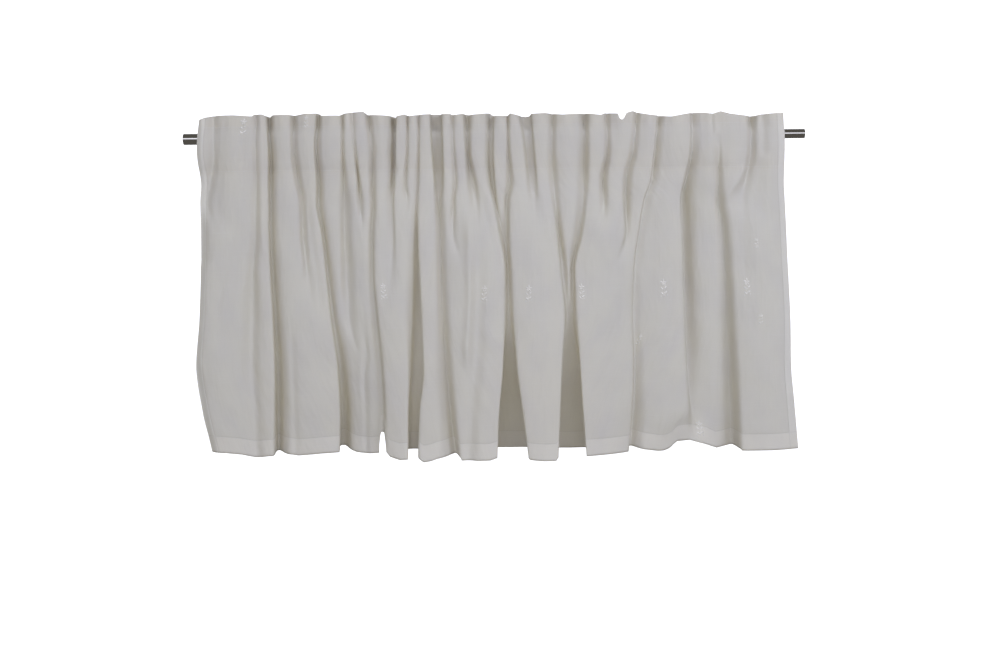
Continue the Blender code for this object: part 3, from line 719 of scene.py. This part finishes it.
heading, turned_hem = turned_layers(front, behind)
sheet = np.concatenate([heading, front, turned_hem])
flat_v = np.concatenate([
    2 * TOP - BOTTOM - heights[:len(heading)][::-1], heights - BOTTOM,
    -(heights[-len(turned_hem):][::-1] - BOTTOM)])
steps = np.linalg.norm(np.diff(grid, axis=1), axis=2)
along = np.concatenate([np.zeros((ROWS, 1)), np.cumsum(steps, axis=1)], axis=1)
along *= FLAT_WIDTH / along[:, -1:]
flat_u = np.concatenate([along[:len(heading)][::-1], along, along[-len(turned_hem):][::-1]])
print("sheet of", sheet.shape[0], "rows,", 2 * (sheet.shape[0] - 1) * (COLUMNS - 1), "triangles")

# %% Make the mesh, with the flat cloth as its UV map
def grid_piece(name, points, u, v):
    """An open sheet from a grid of points in mm; the UV map is the flat cloth in metres."""
    rows, columns = points.shape[:2]
    index = np.arange(rows * columns).reshape(rows, columns)
    quads = np.stack([index[:-1, :-1], index[1:, :-1], index[1:, 1:], index[:-1, 1:]], axis=-1)
    mesh = bpy.data.meshes.new(name)
    mesh.from_pydata((points.reshape(-1, 3) * MM).tolist(), [], quads.reshape(-1, 4).tolist())
    uv = mesh.uv_layers.new(name="flat_cloth")
    flat = np.stack([u, v], axis=-1).reshape(-1, 2) * MM
    corner_vertex = np.empty(len(mesh.loops), dtype=np.int32)
    mesh.loops.foreach_get("vertex_index", corner_vertex)
    uv.data.foreach_set("uv", flat[corner_vertex].ravel())
    mesh.shade_smooth()
    return new_object(name, mesh)


valance = grid_piece("valance_sheet", sheet, flat_u, np.repeat(flat_v[:, None], COLUMNS, axis=1))
print(valance.name, len(valance.data.polygons), "faces")

# %% [markdown]
# ## Sewing and embroidery
#
# The stitches and the sprigs lie on the cloth, so they are placed on the flat cloth, where
# a seam is a straight line, and carried onto the folds. One stitch and one satin-stitch
# leaf are modelled; all the others are copies of their points.

# %% From the flat cloth to the folds
front_normals = -normals_of(front)


def on_cloth(u, v, lift):
    """The place on the folded cloth of a point of the flat cloth, lifted off its front."""
    u, v, lift = (np.asarray(value, float) for value in (u, v, lift))
    row = np.interp(-v, BOTTOM - heights, np.arange(ROWS))
    result = np.zeros((len(u), 3))
    low = np.minimum(row.astype(int), ROWS - 2)
    for r in np.unique(low):
        here = low == r
        for rr, weight in ((r, 1 - (row[here] - r)), (r + 1, row[here] - r)):
            for axis in range(3):
                place = np.interp(u[here], along[rr], front[rr, :, axis])
                normal = np.interp(u[here], along[rr], front_normals[rr, :, axis])
                result[here, axis] += weight * (place + lift[here] * normal)
    return result


FOREMOST, AHEAD = 0.2, 80      # how much a nearer point is preferred, over so many mm


def flat_place(x, z):
    """The flat cloth's u and v of the foremost point at a place (x, z)."""
    distance = ((front[:, :, 0] - x) ** 2 + (front[:, :, 2] - z) ** 2
                + FOREMOST * (front[:, :, 1] + AHEAD))
    r, c = np.unravel_index(distance.argmin(), distance.shape)
    return along[r, c], heights[r] - BOTTOM


print("the middle of the hem lies at", on_cloth([FLAT_WIDTH / 2], [0], [0])[0].round(0))

# %% Model one stitch and one leaf
def modelled_bead(segments, rings, size):
    """A small padded lens, modelled in mm and removed again: its points and faces."""
    bpy.ops.object.select_all(action='DESELECT')
    bpy.ops.mesh.primitive_uv_sphere_add(segments=segments, ring_count=rings, radius=0.5)
    bead = bpy.context.object
    bpy.ops.object.mode_set(mode='EDIT')
    bpy.ops.mesh.select_all(action='SELECT')
    bpy.ops.transform.rotate(value=pi / 2, orient_axis='Y', center_override=(0, 0, 0))
    bpy.ops.transform.resize(value=size, center_override=(0, 0, 0))
    bpy.ops.object.mode_set(mode='OBJECT')
    points = np.array([vertex.co[:] for vertex in bead.data.vertices])
    faces = [list(face.vertices) for face in bead.data.polygons]
    bpy.data.objects.remove(bead)
    return points, faces


STITCH = modelled_bead(5, 3, (2.6, 0.5, 0.5))
LEAF = modelled_bead(8, 6, (1, 1, 1))
print("a stitch has", len(STITCH[1]), "faces and a leaf", len(LEAF[1]))

# %% Lay copies on the cloth
THREAD_LIFT = 0.1              # middle of a thread above the cloth


def laid_piece(name, bead, copies):
    """One piece from copies of a bead, each given as (u, v, angle, scale along, across, lift)."""
    points, faces = bead
    places, quads = [], []
    for n, (u, v, angle, length, width, lift) in enumerate(copies):
        x, y = points[:, 0] * length, points[:, 1] * width
        places.append(np.stack([u + x * np.cos(angle) - y * np.sin(angle),
                                v + x * np.sin(angle) + y * np.cos(angle),
                                points[:, 2] * lift + THREAD_LIFT], axis=1))
        quads += [[corner + n * len(points) for corner in face] for face in faces]
    flat = np.concatenate(places)
    mesh = bpy.data.meshes.new(name)
    mesh.from_pydata((on_cloth(*flat.T) * MM).tolist(), [], quads)
    mesh.shade_smooth()
    piece = new_object(name, mesh)
    bpy.ops.object.select_all(action='DESELECT')
    bpy.context.view_layer.objects.active = piece
    piece.select_set(True)
    bpy.ops.object.mode_set(mode='EDIT')
    bpy.ops.mesh.select_all(action='SELECT')
    bpy.ops.mesh.normals_make_consistent(inside=False)
    bpy.ops.object.mode_set(mode='OBJECT')
    print(name, len(copies), "copies,", len(mesh.polygons), "faces")
    return piece


STITCH_PITCH = 3.4
SEAM_START = 3                 # from the edge of the cloth to the first stitch
SEAM_INSET = 1.5               # from a folded edge's seam to the edge of the turned cloth
across = np.arange(SEAM_START, FLAT_WIDTH - SEAM_START, STITCH_PITCH)
up = np.arange(SEAM_START, UPPER_STITCH - BOTTOM, STITCH_PITCH)
seams = [(u, v, 0, 1, 1, 1) for v in (HEM_HEIGHT - SEAM_INSET, UPPER_STITCH - BOTTOM,
                                      LOWER_STITCH - BOTTOM) for u in across]
seams += [(u, v, pi / 2, 1, 1, 1) for u in (SIDE_HEM - SEAM_INSET,
                                            FLAT_WIDTH - SIDE_HEM + SEAM_INSET) for v in up]
stitches = laid_piece("stitches", STITCH, seams)

# %% Embroider the sprigs
# An ordinary little flower sprig: leaves as (right, up, angle in degrees, length, width).
SPRIG = (
    (0, -9, 90, 9, 1.1), (0, -2, 90, 8, 1.1), (0, 4, 90, 6, 1.1),
    (-3.2, -9, 145, 7, 3.2), (3.2, -7, 35, 7, 3.2), (-3.4, -1, 140, 6, 2.8), (3.4, 1, 40, 6, 2.8),
    (0, 12, 90, 5.5, 3), (-3.4, 9.5, 160, 5.5, 3), (3.4, 9.5, 20, 5.5, 3),
    (-2.2, 6, 230, 4.5, 2.6), (2.2, 6, 310, 4.5, 2.6), (0, 8.7, 0, 2.6, 2.6),
    (-6, -13, 120, 3, 2), (6, -11, 60, 3, 2),
)
PADDING = 1.0                  # height of the satin stitches
SPRIG_PLACES = (               # x, height and size
    (-427, 18, 1), (-320, 25, 0.7), (-194, -264, 1), (-20, -269, 1), (56, -270, 1),
    (149, -269, 1), (291, -265, 1.1), (435, -263, 1.1), (360, -517, 1), (249, -353, 0.7),
    (452, -187, 0.7), (461, -320, 0.7),
)
leaves = []
for x, z, size in SPRIG_PLACES:
    u, v = flat_place(x, z)
    leaves += [(u + right * size, v + rise * size, radians(angle), length * size,
                width * size, PADDING) for right, rise, angle, length, width in SPRIG]
sprigs = laid_piece("embroidered_sprigs", LEAF, leaves)

# %% [markdown]
# ## The cloth's finish
#
# Off-white slubbed cotton is matt, uneven in colour and lets some light through. A picture
# of cloth could be laid on it, but a pattern made by code has no edges and fits any size.
# It reads the UV map, which is the flat cloth, so threads and seams follow the folds.

# %% Colours and nodes
def srgb(text):
    """A hex colour as linear RGBA."""
    values = [int(text[i:i + 2], 16) / 255 for i in (1, 3, 5)]
    return (*[v / 12.92 if v <= 0.04045 else ((v + 0.055) / 1.055) ** 2.4 for v in values], 1)


def add(tree, kind, links=None, **settings):
    """Add a node, set its properties and sockets, and link sockets to other outputs."""
    node = tree.nodes.new(kind)
    for name, value in settings.items():
        if hasattr(node, name):
            setattr(node, name, value)
        else:
            node.inputs[name].default_value = value
    for name, source in (links or {}).items():
        tree.links.new(source, node.inputs[name])
    return node

# %% The cloth
# Unbleached cotton in plain weave, about 0.5 mm from thread to thread. The eye sees a matt
# off-white with slightly thicker threads, called slubs, in both directions. Light passes
# through one layer and comes out warmer; where the cloth is doubled less of it does.
THREAD = 0.5                   # mm from one thread to the next
DRAWN_THREAD = 4 * THREAD      # the weave is drawn coarser than it is, or it wouldn't show
# the cloth beside a seam is painted darker: painted shade where it is drawn in
SEAM_SHADE = 0.9               # mm on each side of a seam where the cloth is drawn in


def banded(tree, value, centre, half):
    """1 where the value lies within a band, else 0."""
    node = add(tree, "ShaderNodeMath", {0: value}, operation='COMPARE')
    node.inputs[1].default_value = centre * MM
    node.inputs[2].default_value = half * MM
    return node.outputs[0]


def either(tree, values):
    """The largest of some values."""
    result = values[0]
    for value in values[1:]:
        result = add(tree, "ShaderNodeMath", {0: result, 1: value}, operation='MAXIMUM').outputs[0]
    return result


def streaks(tree, flat, across, along, detail):
    """Noise stretched along one direction of the flat cloth; sizes in mm."""
    scaled = add(tree, "ShaderNodeMapping", {"Vector": flat})
    scaled.inputs["Scale"].default_value = (1 / (across * MM), 1 / (along * MM), 1)
    noise = add(tree, "ShaderNodeTexNoise", {"Vector": scaled.outputs[0]}, Scale=1.0,
                Detail=detail)
    return noise.outputs["Fac"]


def tinted(tree, colour, factor, low, high, tint):
    """Mix a tint into a colour as a factor rises from low to high."""
    ramp = add(tree, "ShaderNodeMapRange", {"Value": factor})
    ramp.inputs["From Min"].default_value = low
    ramp.inputs["From Max"].default_value = high
    mix = add(tree, "ShaderNodeMix", {"Factor": ramp.outputs[0]}, data_type='RGBA')
    tree.links.new(colour, mix.inputs[6])
    mix.inputs[7].default_value = srgb(tint)
    return mix.outputs[2]


def raised(tree, height, distance, under=None):
    """A bump of so many mm on top of another one."""
    bump = add(tree, "ShaderNodeBump", {"Height": height}, Distance=distance * MM)
    if under:
        tree.links.new(under, bump.inputs["Normal"])
    return bump.outputs[0]


def unbleached_cotton():
    material = bpy.data.materials.new("unbleached_cotton")
    material.use_nodes = True
    tree = material.node_tree
    tree.nodes.clear()
    flat = add(tree, "ShaderNodeUVMap", uv_map="flat_cloth").outputs[0]
    parts = add(tree, "ShaderNodeSeparateXYZ", {"Vector": flat})
    u, v = parts.outputs[0], parts.outputs[1]
    doubled = either(tree, [banded(tree, v, 0, HEM_HEIGHT), banded(tree, u, 0, SIDE_HEM),
                            banded(tree, u, FLAT_WIDTH, SIDE_HEM)])
    # Painted shade: a narrow band along each hem seam, darkened in the colour below
    seam_shade_band = either(tree, [banded(tree, v, HEM_HEIGHT, SEAM_SHADE),
                         banded(tree, u, SIDE_HEM, SEAM_SHADE),
                         banded(tree, u, FLAT_WIDTH - SIDE_HEM, SEAM_SHADE)])
    warp_slubs = streaks(tree, flat, 3, 90, 3)
    weft_slubs = streaks(tree, flat, 70, 3, 3)
    clouds = streaks(tree, flat, 45, 80, 4)
    wrinkles = streaks(tree, flat, 26, 60, 2)
    weave = add(tree, "ShaderNodeTexChecker", {"Vector": flat}, Scale=1 / (DRAWN_THREAD * MM))
    colour = add(tree, "ShaderNodeRGB")
    colour.outputs[0].default_value = srgb("#E7E3D5")
    colour = tinted(tree, colour.outputs[0], clouds, 0.4, 0.9, "#DEDAD3")
    colour = tinted(tree, colour, warp_slubs, 0.55, 1.6, "#D3CDBD")
    colour = tinted(tree, colour, weft_slubs, 0.55, 1.9, "#F3F1EB")
    # Painted shade along the seams: the cloth beside each hem seam is darkened in colour, and no
    # groove is modelled there
    colour = tinted(tree, colour, seam_shade_band, 0, 5, "#A8A294")
    # Painted light: the doubled hems are painted paler, on top of the real second layer and the
    # smaller share of light passing through it
    colour = tinted(tree, colour, doubled, 0, 4, "#F6F2E4")
    normal = raised(tree, wrinkles, 2.2)
    normal = raised(tree, warp_slubs, 0.2, normal)
    normal = raised(tree, weft_slubs, 0.12, normal)
    normal = raised(tree, weave.outputs["Fac"], 0.02, normal)
    normal = raised(tree, doubled, 0.4, normal)
    cloth = add(tree, "ShaderNodeBsdfPrincipled", {"Base Color": colour, "Normal": normal},
                Roughness=0.9)
    cloth.inputs["Specular IOR Level"].default_value = 0.2
    through = add(tree, "ShaderNodeBsdfTranslucent", {"Normal": normal}, Color=srgb("#E3D6AE"))
    passing = add(tree, "ShaderNodeMapRange", {"Value": doubled})
    passing.inputs["To Min"].default_value = 0.36
    passing.inputs["To Max"].default_value = 0.3
    mix = add(tree, "ShaderNodeMixShader", {"Fac": passing.outputs[0], 1: cloth.outputs[0],
                                            2: through.outputs[0]})
    add(tree, "ShaderNodeOutputMaterial", {"Surface": mix.outputs[0]})
    return material


cloth = unbleached_cotton()
valance.data.materials.append(cloth)
print(cloth.name, len(cloth.node_tree.nodes), "nodes")

# %% [markdown]
# ## Threads and steel
#
# The threads and the tubes show only as thin lines, so each gets one value all over for
# colour, gloss and metal. A spun thread could have its twist and a drawn tube its fine
# lines along it, made with noise as on the cloth.

# %% A finish with one value all over
def even_finish(name, values):
    material = bpy.data.materials.new(name)
    material.use_nodes = True
    for socket, value in values.items():
        material.node_tree.nodes["Principled BSDF"].inputs[socket].default_value = value
    return material


# Twisted cotton is a little shinier than the cloth, because its fibres lie side by side.
stitches.data.materials.append(even_finish(
    "sewing_thread", {"Base Color": srgb("#E9E5D8"), "Roughness": 0.7}))
sprigs.data.materials.append(even_finish(
    "embroidery_cotton", {"Base Color": srgb("#E0DBCD"), "Roughness": 0.75}))

# Polished steel mirrors the room, so a round tube shows a bright line between dark ones.
steel = even_finish("polished_steel", {
    "Base Color": srgb("#A09C94"), "Metallic": 1.0, "Roughness": 0.12})
for name in ("rod_outer_tube", "rod_inner_tube"):
    for slot in bpy.data.objects[name].material_slots:
        slot.material = steel
print("finishes:", stitches.data.materials[0].name, sprigs.data.materials[0].name, steel.name)

# %% [markdown]
# ## Light
#
# One wide soft light from the front, high up, shows the furrows as soft shade. Two weak ones
# at the sides keep their walls from going black. The backdrop glows but lights nothing.

# %% Studio
def area_light(name, place, target, size, power, colour):
    data = bpy.data.lights.new(name, 'AREA')
    data.shape = 'RECTANGLE'
    data.size, data.size_y = size
    data.energy = power
    data.color = colour
    lamp = new_object(name, data)
    lamp.location = place
    away = np.array(place) - np.array(target)
    lamp.rotation_euler = Vector(away).to_track_quat('Z', 'Y').to_euler()
    return lamp


WHITE, COOL = (0.933, 0.978, 1.2), (0.88, 0.955, 1.27)
area_light("front_softbox", (0.35, -2.8, 0.65), (0, 0, -0.25), (7.0, 1.6), 89, WHITE)
area_light("left_softbox", (-1.7, -1.6, 0.3), (-0.2, 0, -0.25), (0.8, 1.3), 4, COOL)
area_light("right_softbox", (1.6, -1.8, 0.4), (0.2, 0, -0.2), (0.8, 1.3), 10, COOL)


SWEEP_RADIUS, SWEEP_SIDE = 1.2, 7          # m: its curve, and half of its width


def stage_sweep():
    """A seamless pale sweep: floor and wall in one."""
    profile = [(-6, -1.3)]
    profile += [(1.6 + SWEEP_RADIUS * np.sin(a), -0.1 - SWEEP_RADIUS * np.cos(a))
                for a in np.linspace(0, pi / 2, 9)]
    profile += [(2.8, 4.0)]
    points, faces = [], []
    for y, z in profile:
        points += [(-SWEEP_SIDE, y, z), (SWEEP_SIDE, y, z)]
    for i in range(len(profile) - 1):
        faces.append((2 * i, 2 * i + 1, 2 * i + 3, 2 * i + 2))
    mesh = bpy.data.meshes.new("sweep")
    mesh.from_pydata(points, [], faces)
    mesh.shade_smooth()
    sweep = new_object("sweep", mesh)
    mesh.materials.append(even_finish("white_paper_sweep", {
        "Base Color": (0.9, 0.9, 0.9, 1), "Emission Color": (1, 1, 1, 1),
        "Emission Strength": 1.0}))
    sweep.visible_diffuse = False
    sweep.visible_glossy = False
    sweep.visible_transmission = False
    sweep.visible_shadow = False
    return sweep


stage_sweep()
world = bpy.data.worlds.new("studio")
world.use_nodes = True
air = world.node_tree.nodes["Background"]
air.inputs["Color"].default_value = (1, 0.98, 0.94, 1)
air.inputs["Strength"].default_value = 0.21
bpy.context.scene.world = world
bpy.context.scene.view_settings.view_transform = 'Standard'

# %% [markdown]
# ## Attach the new pieces and hide the CAD cloth
#
# The fine sheet stands for the CAD cloth. Its flat length is the drop, what is turned down
# behind the rod as far as the lower sewn line, and the hem.

for piece in (valance, stitches, sprigs):
    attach(piece, "root")
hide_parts("valance_cloth")
